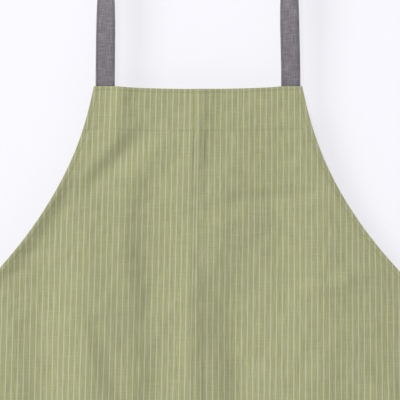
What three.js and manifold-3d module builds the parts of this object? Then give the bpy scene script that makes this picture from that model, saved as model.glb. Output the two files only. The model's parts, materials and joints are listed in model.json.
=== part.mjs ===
// A bib apron hanging by its neck strap on a two-hook wall rail.
// Millimetres, +Z up. The wall is the plane Y = 0, the front looks along -Y, and left is -X.
// The origin is the middle of the rail board's back face.
import * as THREE from "three";
import { mergeVertices } from "three/addons/utils/BufferGeometryUtils.js";
import Module from "manifold-3d";

const wasm = await Module();
wasm.setup();

// Driving dimensions
const GAP = 0.3; // between pieces that touch

const BOARD = { width: 380, height: 70, thickness: 18, corner: 10, bevel: 2 };
const PLATE = {
  width: 22, height: 60, thickness: 2.7, centreZ: -4, holeSpacing: 44, holeRadius: 2.4, bevel: 0.6,
};
const HOOK = {
  x: 115, rodRadius: 4.5, rodZ: -12.5, bendStartY: -50, bendRadius: 12, tipZ: 10, ballRadius: 6.5,
};
const FLANGE = { radius: 8, length: 2 };
const PLATE_SCREW = { headRadius: 3.7, headHeight: 1.9, shankRadius: 1.9, length: 18 };
const WALL_SCREW = { x: 165, headRadius: 5.2, headHeight: 2.6, shankRadius: 2.5, length: 50 };
const PILOT_CLEARANCE = 0.3;

const STRAP = {
  width: 25, thickness: 2, sewnLength: 45, sag: 1.2, twistPower: 3, twistClearance: 9,
};
const LIFT_TRAVEL = 30; // the strap lifts this far to clear the hooks' balls
const APRON_TOP_Z = -233; // the bib's top edge, 225 mm below the tops of the hooks' rods
const SWING_RISE = 27; // the strap bends here, above the bib's top edge, when the apron swings
const SWING_GAP = 1.2; // from the bend to each of the strap's two lengths

const CLOTH = 1.2; // front panels, pockets
const TRIM = 0.8; // facing and bindings
const APRON = { length: 850, halfTop: 135.5, halfBody: 340, armhole: 310 };
const ARMHOLE = { lean: 0.2, flare: 142.5, power: 2.26, rows: 16, bindingWidth: 9 };
const FACING_DEPTH = 57;
const POCKET = { width: 170, height: 185, inner: 70, top: 470 };
const TIE = { width: 25, thickness: 1.2, length: 800, sewnLength: 26, standOut: 4, below: 15 };

// Layers, from the strap to the front
const strapY = -36.8;
const facingY = strapY - STRAP.thickness / 2 - GAP - TRIM / 2;
const panelY = facingY - TRIM / 2 - GAP - CLOTH / 2;
const pocketY = panelY - CLOTH - GAP;
const tieY = panelY + CLOTH / 2 + GAP + TIE.thickness / 2;

const material = {
  wood: new THREE.MeshStandardMaterial({ color: 0xc39a6b, roughness: 0.55, metalness: 0 }),
  steel: new THREE.MeshStandardMaterial({ color: 0x9a9a98, roughness: 0.35, metalness: 1 }),
  greenCloth: new THREE.MeshStandardMaterial({ color: 0xa6a881, roughness: 0.95, metalness: 0 }),
  greyCloth: new THREE.MeshStandardMaterial({ color: 0x7f7c81, roughness: 0.95, metalness: 0 }),
};

const apronOnHooks = new THREE.Group();

function addPart(name, geometry, partMaterial) {
  const mesh = new THREE.Mesh(geometry, partMaterial);
  mesh.name = name;
  apronOnHooks.add(mesh);
}

// ---- Solids and booleans ----

function toSolid(geometry) {
  const bare = geometry.clone();
  bare.deleteAttribute("normal");
  bare.deleteAttribute("uv");
  const merged = mergeVertices(bare, 1e-4);
  return new wasm.Manifold(
    new wasm.Mesh({
      numProp: 3,
      vertProperties: merged.attributes.position.array,
      triVerts: new Uint32Array(merged.index.array),
    }),
  );
}

function toGeometry(solid) {
  const mesh = solid.getMesh();
  const geometry = new THREE.BufferGeometry();
  geometry.setAttribute("position", new THREE.BufferAttribute(mesh.vertProperties, 3));
  geometry.setIndex(new THREE.BufferAttribute(mesh.triVerts, 1));
  return geometry;
}

// A cylinder along Y between two depths.
function cylinderY(radius, x, z, fromY, toY, sides = 20) {
  return new THREE.CylinderGeometry(radius, radius, Math.abs(toY - fromY), sides)
    .translate(x, (fromY + toY) / 2, z);
}

// A shape drawn in X and Z becomes a slab from backY forward, with bevelled edges.
function slabFromShape(shape, backY, thickness, bevel, curveSegments = 8) {
  return new THREE.ExtrudeGeometry(shape, {
    depth: thickness - 2 * bevel,
    bevelEnabled: bevel > 0,
    bevelThickness: bevel,
    bevelSize: bevel,
    bevelOffset: -bevel,
    bevelSegments: 2,
    curveSegments,
  })
    .rotateX(Math.PI / 2)
    .translate(0, backY - bevel, 0);
}

function roundedRectangle(width, height, radius) {
  const x = width / 2 - radius;
  const z = height / 2 - radius;
  const shape = new THREE.Shape();
  shape.absarc(x, z, radius, 0, Math.PI / 2, false);
  shape.absarc(-x, z, radius, Math.PI / 2, Math.PI, false);
  shape.absarc(-x, -z, radius, Math.PI, 1.5 * Math.PI, false);
  shape.absarc(x, -z, radius, 1.5 * Math.PI, 2 * Math.PI, false);
  shape.closePath();
  return shape;
}

// An upright slot outline: two half circles joined by straight sides.
function stadium(width, height, centreX, centreZ) {
  const radius = width / 2;
  const reach = height / 2 - radius;
  const shape = new THREE.Shape();
  shape.absarc(centreX, centreZ + reach, radius, 0, Math.PI, false);
  shape.absarc(centreX, centreZ - reach, radius, Math.PI, 2 * Math.PI, false);
  shape.closePath();
  return shape;
}

// ---- Rail: board, plates, hooks and screws ----

const plateBackY = -BOARD.thickness - GAP;
const plateFrontY = plateBackY - PLATE.thickness;
const screwZ = [PLATE.centreZ + PLATE.holeSpacing / 2, PLATE.centreZ - PLATE.holeSpacing / 2];
const sides = [
  ["left", -1],
  ["right", 1],
];

function boardGeometry() {
  const outline = roundedRectangle(BOARD.width, BOARD.height, BOARD.corner);
  let board = toSolid(slabFromShape(outline, 0, BOARD.thickness, BOARD.bevel));
  const inFront = -BOARD.thickness - 1;
  const wallHoleRadius = WALL_SCREW.shankRadius + PILOT_CLEARANCE;
  const pilotRadius = PLATE_SCREW.shankRadius + PILOT_CLEARANCE;
  const pilotEndY = plateFrontY + PLATE_SCREW.length;
  for (const [, side] of sides) {
    board = board.subtract(toSolid(cylinderY(wallHoleRadius, side * WALL_SCREW.x, 0, 1, inFront)));
    for (const z of screwZ) {
      board = board.subtract(toSolid(cylinderY(pilotRadius, side * HOOK.x, z, pilotEndY, inFront)));
    }
  }
  return toGeometry(board);
}

function plateGeometry(x) {
  const outline = stadium(PLATE.width, PLATE.height, x, PLATE.centreZ);
  let plate = toSolid(slabFromShape(outline, plateBackY, PLATE.thickness, PLATE.bevel));
  for (const z of screwZ) {
    plate = plate.subtract(toSolid(cylinderY(PLATE.holeRadius, x, z, plateBackY + 1, plateFrontY - 1)));
  }
  return toGeometry(plate);
}

// A domed screw head on the face at faceY, its shank running back, with a cross-shaped drive.
function screwGeometry(x, z, faceY, screw) {
  const { headRadius, headHeight, shankRadius, length } = screw;
  const profile = [
    [0, -headHeight],
    [headRadius * 0.5, -headHeight * 0.9],
    [headRadius * 0.86, -headHeight * 0.55],
    [headRadius, -headHeight * 0.12],
    [headRadius, 0],
    [shankRadius, 0],
    [shankRadius, length * 0.8],
    [0, length],
  ].map(([radius, along]) => new THREE.Vector2(radius, along));
  const frontY = faceY - GAP;
  let solid = toSolid(new THREE.LatheGeometry(profile, 18).translate(x, frontY, z));
  const slot = [headRadius * 1.05, headHeight * 1.1, headRadius * 0.24];
  for (const [sizeX, sizeZ] of [[slot[0], slot[2]], [slot[2], slot[0]]]) {
    const bar = new THREE.BoxGeometry(sizeX, slot[1], sizeZ).translate(x, frontY - headHeight, z);
    solid = solid.subtract(toSolid(bar));
  }
  return toGeometry(solid);
}

// A round rod that leaves the plate level, bends upward and ends in a ball.
function hookGeometry(x) {
  const tipY = HOOK.bendStartY - HOOK.bendRadius;
  const rootY = plateFrontY - GAP;
  const at = (y, z) => new THREE.Vector3(x, y, z);
  const path = new THREE.CurvePath();
  path.add(new THREE.LineCurve3(at(rootY, HOOK.rodZ), at(HOOK.bendStartY, HOOK.rodZ)));
  path.add(
    new THREE.QuadraticBezierCurve3(
      at(HOOK.bendStartY, HOOK.rodZ),
      at(tipY, HOOK.rodZ),
      at(tipY, HOOK.rodZ + HOOK.bendRadius),
    ),
  );
  path.add(new THREE.LineCurve3(at(tipY, HOOK.rodZ + HOOK.bendRadius), at(tipY, HOOK.tipZ)));
  const section = new THREE.Shape().absarc(0, 0, HOOK.rodRadius, 0, 2 * Math.PI, false);
  const rod = new THREE.ExtrudeGeometry(section, { steps: 30, extrudePath: path, curveSegments: 7 });
  const ball = new THREE.SphereGeometry(HOOK.ballRadius, 16, 10).translate(x, tipY, HOOK.tipZ);
  const flange = cylinderY(FLANGE.radius, x, HOOK.rodZ, rootY, rootY - FLANGE.length, 24);
  return toGeometry(toSolid(rod).add(toSolid(ball)).add(toSolid(flange)));
}

// ---- Neck strap ----

const wrapRadius = HOOK.rodRadius + GAP + STRAP.thickness / 2;
const strapHookX = HOOK.x + wrapRadius;
const bendZ = APRON_TOP_Z + SWING_RISE;
const strapStartZ = bendZ + SWING_GAP;
const riseLength = HOOK.rodZ - strapStartZ;
const wrapLength = (wrapRadius * Math.PI) / 2;
const crossLength = 2 * HOOK.x;
const strapLength = 2 * (riseLength + wrapLength) + crossLength;

// The strap's turn about its own length: flat to the front at the bib, edge-on at the hook
// and further below it than the strap lifts.
const twistEndZ = HOOK.rodZ - HOOK.rodRadius - LIFT_TRAVEL - STRAP.twistClearance;

function strapTwist(z) {
  const share = THREE.MathUtils.clamp((z - APRON_TOP_Z) / (twistEndZ - APRON_TOP_Z), 0, 1);
  return (Math.PI / 2) * share ** STRAP.twistPower;
}

// Centre, direction and width direction of the left half of the strap, `along` from its lower end.
function strapFrame(along) {
  const wrapStart = riseLength;
  const crossStart = riseLength + wrapLength;
  if (along <= wrapStart) {
    const z = strapStartZ + along;
    const turn = strapTwist(z);
    return {
      point: new THREE.Vector3(-strapHookX, strapY, z),
      direction: new THREE.Vector3(0, 0, 1),
      width: new THREE.Vector3(Math.cos(turn), -Math.sin(turn), 0),
    };
  }
  const width = new THREE.Vector3(0, -1, 0);
  if (along < crossStart) {
    const turn = (along - wrapStart) / wrapRadius;
    return {
      point: new THREE.Vector3(
        -HOOK.x - wrapRadius * Math.cos(turn),
        strapY,
        HOOK.rodZ + wrapRadius * Math.sin(turn),
      ),
      direction: new THREE.Vector3(Math.sin(turn), 0, Math.cos(turn)),
      width,
    };
  }
  const across = along - crossStart;
  const sag = STRAP.sag * Math.sin((Math.PI * across) / crossLength);
  return {
    point: new THREE.Vector3(-HOOK.x + across, strapY, HOOK.rodZ + wrapRadius - sag),
    direction: new THREE.Vector3(1, 0, 0),
    width,
  };
}

function mirroredFrame(frame) {
  const flip = (v, sign) => new THREE.Vector3(-v.x * sign, v.y * sign, v.z * sign);
  return {
    point: flip(frame.point, 1),
    direction: flip(frame.direction, -1),
    width: flip(frame.width, 1),
  };
}

// Stations along the strap: close together round the hooks and where it twists.
function strapStations() {
  const half = [];
  for (let i = 0; i < 14; i++) half.push((riseLength * i) / 14);
  for (let i = 0; i < 6; i++) half.push(riseLength + (wrapLength * i) / 6);
  for (let i = 0; i <= 3; i++) half.push(riseLength + wrapLength + (crossLength * i) / 6);
  const otherHalf = half.slice(0, -1).reverse().map((along) => strapLength - along);
  return [...half, ...otherHalf];
}

function neckStrapGeometry() {
  const stations = strapStations();
  const steps = stations.length - 1;
  const geometry = new THREE.BoxGeometry(STRAP.width, STRAP.thickness, 1, 1, 1, steps);
  const position = geometry.attributes.position;
  const vertex = new THREE.Vector3();
  for (let i = 0; i < position.count; i++) {
    vertex.fromBufferAttribute(position, i);
    const along = stations[Math.round((vertex.z + 0.5) * steps)];
    const mirrored = along > strapLength / 2;
    const frame = mirrored ? mirroredFrame(strapFrame(strapLength - along)) : strapFrame(along);
    const back = new THREE.Vector3().crossVectors(frame.direction, frame.width);
    const placed = frame.point
      .clone()
      .addScaledVector(frame.width, vertex.x)
      .addScaledVector(back, vertex.y);
    position.setXYZ(i, placed.x, placed.y, placed.z);
  }
  return geometry;
}

// ---- Apron: flat sheets of cloth in layers ----

// Half the apron's width at a depth below the bib's top edge.
function halfWidth(depth) {
  if (depth >= APRON.armhole) return APRON.halfBody;
  const flared = ARMHOLE.flare * (depth / APRON.armhole) ** ARMHOLE.power;
  return APRON.halfTop + ARMHOLE.lean * depth + flared;
}

// A sheet between two edges, each a function of depth, through a list of depths.
function sheetGeometry(innerX, outerX, depths, centreY, thickness) {
  const rows = depths.length - 1;
  const geometry = new THREE.BoxGeometry(1, thickness, 1, 1, 1, rows);
  const position = geometry.attributes.position;
  for (let i = 0; i < position.count; i++) {
    const depth = depths[Math.round((0.5 - position.getZ(i)) * rows)];
    const x = THREE.MathUtils.lerp(innerX(depth), outerX(depth), position.getX(i) + 0.5);
    position.setXYZ(i, x, position.getY(i) + centreY, APRON_TOP_Z - depth);
  }
  return geometry;
}

function spread(from, to, count) {
  return Array.from({ length: count + 1 }, (_, i) => from + ((to - from) * i) / count);
}

// The same sheet on the left or the right, always with its edges in order of X.
function sideSheet(side, nearX, farX, depths, centreY, thickness) {
  const near = (depth) => side * nearX(depth);
  const far = (depth) => side * farX(depth);
  return side < 0
    ? sheetGeometry(far, near, depths, centreY, thickness)
    : sheetGeometry(near, far, depths, centreY, thickness);
}

const armholeDepths = spread(0, APRON.armhole, ARMHOLE.rows);

function panelGeometry(side) {
  return sideSheet(side, () => GAP / 2, halfWidth, [...armholeDepths, APRON.length], panelY, CLOTH);
}

function bindingInnerX(depth) {
  const flared = halfWidth(depth) - APRON.halfTop - ARMHOLE.lean * depth;
  const slope = ARMHOLE.lean + (ARMHOLE.power * flared) / depth;
  return halfWidth(depth) - ARMHOLE.bindingWidth * Math.hypot(1, slope);
}

function bindingGeometry(side) {
  const depths = spread(FACING_DEPTH + GAP, APRON.armhole - GAP, ARMHOLE.rows);
  return sideSheet(side, bindingInnerX, (depth) => halfWidth(depth) - GAP, depths, facingY, TRIM);
}

function facingGeometry() {
  const edge = (depth) => halfWidth(depth) - GAP;
  return sheetGeometry((depth) => -edge(depth), edge, spread(GAP, FACING_DEPTH, 3), facingY, TRIM);
}

function strapEndGeometry(side) {
  const bottomZ = APRON_TOP_Z - STRAP.sewnLength;
  const topZ = bendZ - SWING_GAP;
  return new THREE.BoxGeometry(STRAP.width, STRAP.thickness, topZ - bottomZ)
    .translate(side * strapHookX, strapY, (topZ + bottomZ) / 2);
}

function pocketGeometry(side) {
  const depths = [POCKET.top, POCKET.top + POCKET.height];
  return sideSheet(side, () => POCKET.inner, () => POCKET.inner + POCKET.width, depths, pocketY, CLOTH);
}

const tieZ = APRON_TOP_Z - APRON.armhole - TIE.below;
const tieEndOuterX = APRON.halfBody + TIE.standOut;
const tiePivotX = tieEndOuterX + GAP + TIE.width / 2;

function tieEndGeometry(side) {
  return new THREE.BoxGeometry(TIE.sewnLength, TIE.thickness, TIE.width)
    .translate(side * (tieEndOuterX - TIE.sewnLength / 2), tieY, tieZ);
}

// A long tape whose round top end sits on the line it turns about.
function tieGeometry(side) {
  const half = TIE.width / 2;
  const x = side * tiePivotX;
  const tape = new THREE.Shape();
  tape.absarc(x, tieZ, half, 0, Math.PI, false);
  tape.lineTo(x - half, tieZ - TIE.length + TIE.sewnLength);
  tape.lineTo(x + half, tieZ - TIE.length + TIE.sewnLength);
  tape.closePath();
  return slabFromShape(tape, tieY + TIE.thickness / 2, TIE.thickness, 0, 16);
}

// ---- Assembly ----

addPart("rail_board", boardGeometry(), material.wood);
addPart("neck_strap", neckStrapGeometry(), material.greyCloth);
addPart("top_facing", facingGeometry(), material.greenCloth);
for (const [name, side] of sides) {
  const hookX = side * HOOK.x;
  addPart(`hook_plate_${name}`, plateGeometry(hookX), material.steel);
  addPart(`hook_${name}`, hookGeometry(hookX), material.steel);
  for (const [place, z] of [["top", screwZ[0]], ["bottom", screwZ[1]]]) {
    const screw = screwGeometry(hookX, z, plateFrontY, PLATE_SCREW);
    addPart(`plate_screw_${name}_${place}`, screw, material.steel);
  }
  const wallScrew = screwGeometry(side * WALL_SCREW.x, 0, -BOARD.thickness, WALL_SCREW);
  addPart(`wall_screw_${name}`, wallScrew, material.steel);
  addPart(`strap_end_${name}`, strapEndGeometry(side), material.greyCloth);
  addPart(`front_panel_${name}`, panelGeometry(side), material.greenCloth);
  addPart(`armhole_binding_${name}`, bindingGeometry(side), material.greenCloth);
  addPart(`pocket_${name}`, pocketGeometry(side), material.greenCloth);
  addPart(`waist_tie_end_${name}`, tieEndGeometry(side), material.greyCloth);
  addPart(`waist_tie_${name}`, tieGeometry(side), material.greyCloth);
}

export default apronOnHooks;
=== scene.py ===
"""A striped bib apron hanging by its neck strap from two hooks on a short oak wall rail.

Metres, +Z up. The wall is the plane Y = 0 and the apron's front looks along -Y.
Points on the apron are given flat, as it was cut: x from the centre line, and depth below the
bib's top edge. The class Drape turns them into places on the hung cloth.
"""
import json
import math

import bpy
import numpy as np
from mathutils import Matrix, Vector


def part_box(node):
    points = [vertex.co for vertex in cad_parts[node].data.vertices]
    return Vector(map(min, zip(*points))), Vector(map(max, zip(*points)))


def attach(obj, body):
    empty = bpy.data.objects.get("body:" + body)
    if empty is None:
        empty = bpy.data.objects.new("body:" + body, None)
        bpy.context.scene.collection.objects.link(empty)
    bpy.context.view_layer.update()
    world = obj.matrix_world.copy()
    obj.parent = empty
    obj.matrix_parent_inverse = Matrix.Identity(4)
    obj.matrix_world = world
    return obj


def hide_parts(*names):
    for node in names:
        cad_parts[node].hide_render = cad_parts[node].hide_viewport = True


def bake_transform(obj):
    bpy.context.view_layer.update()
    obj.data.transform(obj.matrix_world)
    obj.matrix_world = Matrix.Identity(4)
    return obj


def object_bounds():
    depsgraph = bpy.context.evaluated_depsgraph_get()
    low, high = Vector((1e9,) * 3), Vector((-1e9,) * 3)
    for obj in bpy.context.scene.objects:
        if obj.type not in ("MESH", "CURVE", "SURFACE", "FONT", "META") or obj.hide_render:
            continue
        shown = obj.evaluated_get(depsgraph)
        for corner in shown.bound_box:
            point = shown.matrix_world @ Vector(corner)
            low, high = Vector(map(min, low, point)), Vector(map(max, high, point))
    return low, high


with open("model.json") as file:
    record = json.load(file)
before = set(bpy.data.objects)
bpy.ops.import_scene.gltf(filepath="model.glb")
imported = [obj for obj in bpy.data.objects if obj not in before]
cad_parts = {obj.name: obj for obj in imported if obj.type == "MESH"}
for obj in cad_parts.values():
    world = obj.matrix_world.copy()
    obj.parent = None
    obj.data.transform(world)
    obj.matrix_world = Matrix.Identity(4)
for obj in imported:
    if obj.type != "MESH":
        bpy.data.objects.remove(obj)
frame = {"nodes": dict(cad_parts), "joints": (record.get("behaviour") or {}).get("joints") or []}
cad_low, cad_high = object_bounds()
nodes = frame["nodes"]

MM = 0.001
SIDES = {"left": -1, "right": 1}

# ---- Sizes and places, from the frame ----

panel_low, panel_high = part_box("front_panel_right")
TOP_Z = panel_high.z
LENGTH = panel_high.z - panel_low.z
HALF_BODY = panel_high.x
PANEL_Y = (panel_low.y + panel_high.y) / 2
ARMHOLE_DEPTH = TOP_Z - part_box("armhole_binding_right")[0].z
FACING_DEPTH = TOP_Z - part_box("top_facing")[0].z
strap_end_low, strap_end_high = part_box("strap_end_right")
STRAP_X = (strap_end_low.x + strap_end_high.x) / 2
STRAP_Y = (strap_end_low.y + strap_end_high.y) / 2
STRAP_WIDTH = strap_end_high.x - strap_end_low.x
STRAP_BOTTOM_Z = strap_end_low.z
STRAP_TOP_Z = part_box("neck_strap")[1].z
hook_low, hook_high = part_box("hook_right")
HOOK_X = (hook_low.x + hook_high.x) / 2
tie_low, tie_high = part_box("waist_tie_right")
tie_end_low, tie_end_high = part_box("waist_tie_end_right")
TIE_X = (tie_low.x + tie_high.x) / 2
TIE_Y = (tie_low.y + tie_high.y) / 2
TIE_Z = (tie_end_low.z + tie_end_high.z) / 2
TIE_WIDTH = tie_high.x - tie_low.x
TIE_BOTTOM_Z = tie_low.z

# ---- The cut of the apron ----

HALF_TOP = 135.5 * MM
ARMHOLE_LEAN = 0.2 * ARMHOLE_DEPTH
ARMHOLE_FLARE = HALF_BODY - HALF_TOP - ARMHOLE_LEAN
ARMHOLE_POWER = 2.26
CLOTH = 0.6 * MM  # thickness of one layer
LAYER = 0.75 * MM  # from one layer to the next
EDGE_STITCH = 6.2 * MM  # from the armhole's edge to its stitches
SIDE_HEM = 12 * MM
BOTTOM_HEM = 25 * MM
STITCH = 2.6 * MM

STRIPE_PITCH = 7.35 * MM
# The cloth's grain on each half: where a stripe lies, how far it leans and how it fans out.
GRAIN = {
    "left": {"phase": -2.6 * MM, "lean": 0.019, "fan": 0.10},
    "right": {"phase": 0.5 * MM, "lean": 0.0125, "fan": 0.115},
}


def smooth_step(value, low, high):
    share = np.clip((value - low) / (high - low), 0, 1)
    return share * share * (3 - 2 * share)


def near(distance, width):
    return np.exp(-((distance / width) ** 2))


def stretch_of(value, start, full, fading, end):
    """1 between `full` and `fading`, easing to 0 at `start` and `end`."""
    return smooth_step(value, start, full) * (1 - smooth_step(value, fading, end))


def points(x, y, z):
    """Points from their three coordinates, each an array or one number for all."""
    return np.stack(np.broadcast_arrays(x, y, z), axis=-1)


def path_lengths(path):
    """How far along a path each of its points lies."""
    return np.concatenate([[0], np.cumsum(np.linalg.norm(np.diff(path, axis=0), axis=1))])


def half_width(depth):
    """Half of the apron's width at a depth below the bib's top edge."""
    share = np.clip(depth / ARMHOLE_DEPTH, 0, 1)
    return HALF_TOP + ARMHOLE_LEAN * share + ARMHOLE_FLARE * share**ARMHOLE_POWER


def edge_stretch(depth):
    """How much longer the apron is across, along X, than square to its slanting edge."""
    step = 0.5 * MM
    slope = (half_width(depth + step) - half_width(depth - step)) / (2 * step)
    return np.hypot(1, slope)


def flat_place(x, depth):
    """Where a point of the apron would be if the cloth hung as a flat board."""
    return points(x, PANEL_Y, TOP_Z - depth)


def seam_edge(depth):
    """The folded edge of the centre seam."""
    return -2.9 * MM - 3.6 * MM * smooth_step(depth, 0, 280 * MM)


def seam_main_row(depth):
    return 3.9 * MM - 3.2 * MM * smooth_step(depth, 80 * MM, 130 * MM)


def seam_edge_row(depth):
    return seam_edge(depth) + 1.2 * MM


# ---- The hung shape ----

SIM_COLUMNS = 56
SIM_ARMHOLE_ROWS = 26
SIM_BODY_ROWS = 44
SIM_FRAMES = 50
SIM_HANG_FRAME = 12  # by this frame the sewn strap ends have reached their place
COTTON = {
    "quality": 6, "mass": 0.004, "tension_stiffness": 15, "compression_stiffness": 15,
    "shear_stiffness": 5, "bending_stiffness": 4, "bending_damping": 0.5, "air_damping": 1,
}


def seeded_waves(x, depth):
    """The soft upright waves that the cloth starts with, deeper towards the hem."""
    grow = np.clip(depth / LENGTH, 0, 1) ** 1.8
    drift = 1.2 * np.sin(depth * 2)
    wide = np.sin(x * 2 * np.pi / 0.135 + drift + 0.6)
    narrow = 0.4 * np.sin(x * 2 * np.pi / 0.083 - 0.7 * drift + 2.1)
    left_more = 1 - 0.8 * smooth_step(x, -0.02, 0.15) * (1 - grow)
    return 6.0 * MM * (0.03 + grow) * left_more * (wide + narrow)


def width_kept(flat_x, y):
    """Where the points of each row go across when the row waves in depth at its full length."""
    across = np.diff(flat_x, axis=1)
    wave = np.diff(y, axis=1)
    kept = np.sqrt(np.maximum(across**2 - wave**2, 1e-10))
    x = np.concatenate([np.zeros((len(flat_x), 1)), np.cumsum(kept, axis=1)], axis=1)
    return x - x[:, SIM_COLUMNS // 2 : SIM_COLUMNS // 2 + 1]


def sim_grid():
    upper = np.linspace(0, ARMHOLE_DEPTH, SIM_ARMHOLE_ROWS, endpoint=False)
    lower = np.linspace(ARMHOLE_DEPTH, LENGTH, SIM_BODY_ROWS + 1)
    depth = np.concatenate([upper, lower])[:, None].repeat(SIM_COLUMNS + 1, 1)
    x = np.linspace(-1, 1, SIM_COLUMNS + 1)[None, :] * half_width(depth)
    return x, depth


def grid_quads(rows, columns):
    """The corner numbers of each square of a grid of points, counted row by row."""
    corner = (np.arange(rows - 1)[:, None] * columns + np.arange(columns - 1)[None, :]).ravel()
    return np.stack([corner, corner + columns, corner + columns + 1, corner + 1], axis=1)


def hang_by_simulation(start, flat, pinned):
    """Lets the cloth hang from its two strap ends under gravity and returns its points."""
    scene = bpy.context.scene
    rows, columns = start.shape[:2]
    mesh = bpy.data.meshes.new("hanging")
    quads = grid_quads(rows, columns)
    mesh.from_pydata(start.reshape(-1, 3).tolist(), [], quads.tolist())
    cloth = bpy.data.objects.new("hanging", mesh)
    scene.collection.objects.link(cloth)
    held = cloth.vertex_groups.new(name="held")
    held.add(np.flatnonzero(pinned.ravel()).tolist(), 1.0, "REPLACE")
    cloth.shape_key_add(name="start")
    cut = cloth.shape_key_add(name="cut")
    cut.data.foreach_set("co", flat.astype(np.float32).ravel())
    hung = cloth.shape_key_add(name="hung")
    goal = np.where(pinned[..., None], flat, start)
    hung.data.foreach_set("co", goal.astype(np.float32).ravel())
    hung.value = 0
    hung.keyframe_insert("value", frame=1)
    hung.value = 1
    hung.keyframe_insert("value", frame=SIM_HANG_FRAME)

    modifier = cloth.modifiers.new("hang", "CLOTH")
    settings = modifier.settings
    settings.rest_shape_key = cut
    settings.vertex_group_mass = "held"
    for setting, value in COTTON.items():
        setattr(settings, setting, value)
    modifier.collision_settings.use_collision = False
    modifier.point_cache.frame_start = 1
    modifier.point_cache.frame_end = SIM_FRAMES
    scene.frame_end = SIM_FRAMES
    for number in range(1, SIM_FRAMES + 1):
        scene.frame_set(number)
    evaluated = cloth.evaluated_get(bpy.context.evaluated_depsgraph_get())
    found = np.zeros(rows * columns * 3, np.float32)
    evaluated.data.vertices.foreach_get("co", found)
    bpy.data.objects.remove(cloth)
    scene.frame_set(1)
    return found.reshape(rows, columns, 3).astype(float)


def cubic_weights(t):
    return [
        ((-0.5 * t + 1) * t - 0.5) * t,
        (1.5 * t - 2.5) * t * t + 1,
        ((-1.5 * t + 2) * t + 0.5) * t,
        (0.5 * t - 0.5) * t * t,
    ]


def soft_fold(x, depth, path, width, height):
    """A ridge along a path of flat points (x, depth) in mm, fading out at both ends."""
    path = np.array(path, float) * MM
    steps = np.diff(path, axis=0)
    lengths = np.linalg.norm(steps, axis=1)
    starts = path_lengths(path)
    nearest = np.full(np.shape(x), 9.0)
    run = np.zeros(np.shape(x))
    for (px, pd), (dx, dd), length, start in zip(path, steps, lengths, starts):
        share = np.clip(((x - px) * dx + (depth - pd) * dd) / length**2, 0, 1)
        away = np.hypot(x - px - share * dx, depth - pd - share * dd)
        run = np.where(away < nearest, start + share * length, run)
        nearest = np.minimum(away, nearest)
    total = starts[-1]
    fade = stretch_of(run, 0, 0.3 * total, 0.7 * total, total)
    return height * MM * fade * np.exp(-((nearest / (width * MM)) ** 2))


# The soft folds that the bib keeps from wear: path, width and height in mm.
SET_FOLDS = [
    ([(-94, -80), (-100, -10), (-103, 30), (-112, 70), (-126, 110)], 16, 5.0),
    ([(-60, 36), (-94, 57), (-150, 112), (-170, 140)], 11, 1.8),
    ([(-40, 42), (-80, 72), (-138, 130), (-160, 160)], 12, -3.0),
    ([(10, 46), (-35, 72), (-60, 90), (-82, 112), (-97, 160), (-98, 205), (-92, 250), (-84, 300)], 17, 3.0),
    ([(-100, 150), (-92, 235), (-80, 300), (-75, 350), (-72, 420), (-70, 520), (-72, 640)], 17, 2.1),
    ([(-52, 100), (-76, 190), (-66, 270), (-56, 350), (-50, 450), (-48, 560)], 12, -0.9),
    ([(22, -70), (12, -5), (3, 55), (-10, 105), (-17, 140)], 15, 3.2),
    ([(0, 152), (40, 150), (70, 147), (110, 143), (180, 133)], 12, -3.2),
    ([(10, 180), (50, 172), (110, 180)], 14, 2.0),
    ([(110, 276), (150, 264), (222, 243), (270, 236)], 11, 2.8),
    ([(-6, 230), (-4, 290), (-2, 420), (-2, 560), (-4, 640)], 15, 1.2),
    ([(44, 225), (40, 290), (38, 420), (42, 560), (46, 640)], 12, -1.3),
    ([(-150, 250), (-135, 300), (-98, 415), (-90, 520)], 11, -1.5),
    ([(-176, 240), (-160, 290), (-123, 410), (-116, 520)], 12, 1.2),
    ([(-182, 310), (-170, 370), (-160, 450), (-158, 540)], 12, -1.4),
    ([(88, 300), (84, 400), (90, 520)], 16, 1.0),
]


def curled_edge(x, depth):
    """The left armhole's edge curls forward a little along its middle stretch."""
    from_edge = (half_width(depth) + x) / edge_stretch(depth)
    stretch = stretch_of(depth, 80 * MM, 150 * MM, 230 * MM, 300 * MM)
    return 8.5 * MM * stretch * near(np.maximum(from_edge, 0), 12 * MM)


def kept_folds(x, depth):
    """How far the set folds stand forward, with a faint unevenness all over."""
    forward = sum(soft_fold(x, depth, *fold) for fold in SET_FOLDS)
    uneven = np.sin(x * 71 + 3 * np.sin(depth * 19 + 1)) * np.sin(depth * 43 + 2 * np.sin(x * 27))
    fine = np.sin(x * 173 + depth * 31 + 1.7) * np.sin(depth * 97 - x * 41)
    creases = np.sin(depth * 310 + 4 * np.sin(x * 23) + 2 * np.sin(depth * 29))
    creases = creases * stretch_of(depth, 150 * MM, 190 * MM, 250 * MM, 300 * MM)
    creases = creases * near(x + 40 * MM, 40 * MM)
    away_from_straps = 1 - np.exp(-(((np.abs(x) - STRAP_X) / 0.011) ** 2) - (depth / 0.045) ** 2)
    small = 0.2 * MM * uneven + 0.05 * MM * fine + 0.16 * MM * creases
    return (forward + small) * away_from_straps + curled_edge(x, depth)


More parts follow.
